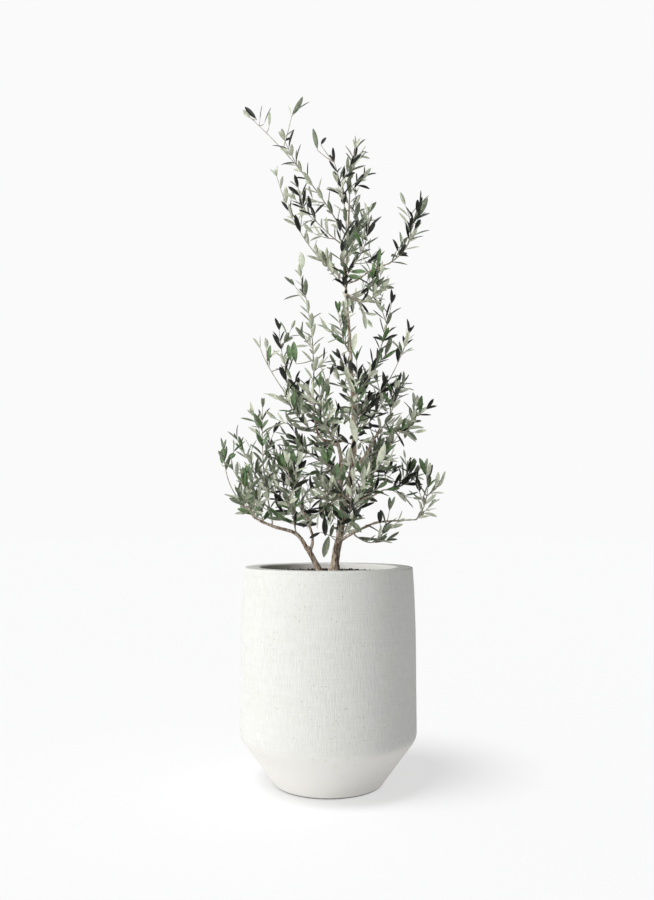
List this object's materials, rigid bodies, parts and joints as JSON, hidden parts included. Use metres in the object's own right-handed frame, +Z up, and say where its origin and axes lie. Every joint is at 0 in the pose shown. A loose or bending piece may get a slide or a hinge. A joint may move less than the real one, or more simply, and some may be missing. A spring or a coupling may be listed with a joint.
{
  "type": "potted olive tree",
  "caption": "Young olive tree with a slender forked stem and an airy crown of narrow leaves, standing in a round pale fibre-cement planter with a coned foot.",
  "frame": {"origin": "centre of the planter's flat underside, on the surface it stands on", "axes": "+Z up along the planter's axis, +X to the right and +Y away from the side that faces the viewer"},
  "size_m": [0.5216, 0.4207, 1.6318],
  "materials": {
    "fibre_cement": "matte",
    "potting_mix": "matte",
    "bark": "matte",
    "foliage": "matte"
  },
  "bodies": {
    "root": {"planter": "fibre_cement", "soil": "potting_mix", "trunk": "bark", "leader": "bark", "left_stem": "bark", "left_bough": "bark", "second_stem": "bark", "arch_bough": "bark", "second_riser": "bark", "low_right_bough": "bark", "right_arm": "bark", "right_bough": "bark", "mid_right_bough": "bark", "upper_right_bough": "bark", "foliage_top": "foliage", "foliage_top_left": "foliage", "foliage_long_shoot": "foliage", "foliage_high_left": "foliage", "foliage_upper_left": "foliage", "foliage_upper_right": "foliage", "foliage_hanging": "foliage", "foliage_inner_right": "foliage", "foliage_upper_back": "foliage", "foliage_upper_front": "foliage", "foliage_back_right": "foliage", "foliage_tall_left": "foliage", "foliage_side_left": "foliage", "foliage_mid_left": "foliage", "foliage_low_left_twig": "foliage", "foliage_stem_twig": "foliage", "foliage_tall_right": "foliage", "foliage_side_right": "foliage", "foliage_right_tuft": "foliage", "foliage_right_reach": "foliage", "foliage_mid_front": "foliage", "foliage_mid_front_left": "foliage", "foliage_mid_back": "foliage", "foliage_mid_back_left": "foliage", "foliage_mid_back_right": "foliage", "foliage_arch_tip": "foliage", "foliage_arch_low": "foliage", "foliage_arch_riser": "foliage", "foliage_arch_back": "foliage", "foliage_left_long": "foliage", "foliage_left_pale": "foliage", "foliage_left_front": "foliage", "foliage_left_inner": "foliage", "foliage_left_back": "foliage", "foliage_low_front": "foliage", "foliage_low_back": "foliage", "foliage_dipping_right": "foliage", "foliage_pale_right": "foliage", "foliage_low_right_front": "foliage", "foliage_right_end": "foliage", "foliage_right_riser": "foliage", "foliage_right_back": "foliage", "foliage_right_inner": "foliage"}
  },
  "joints": []
}
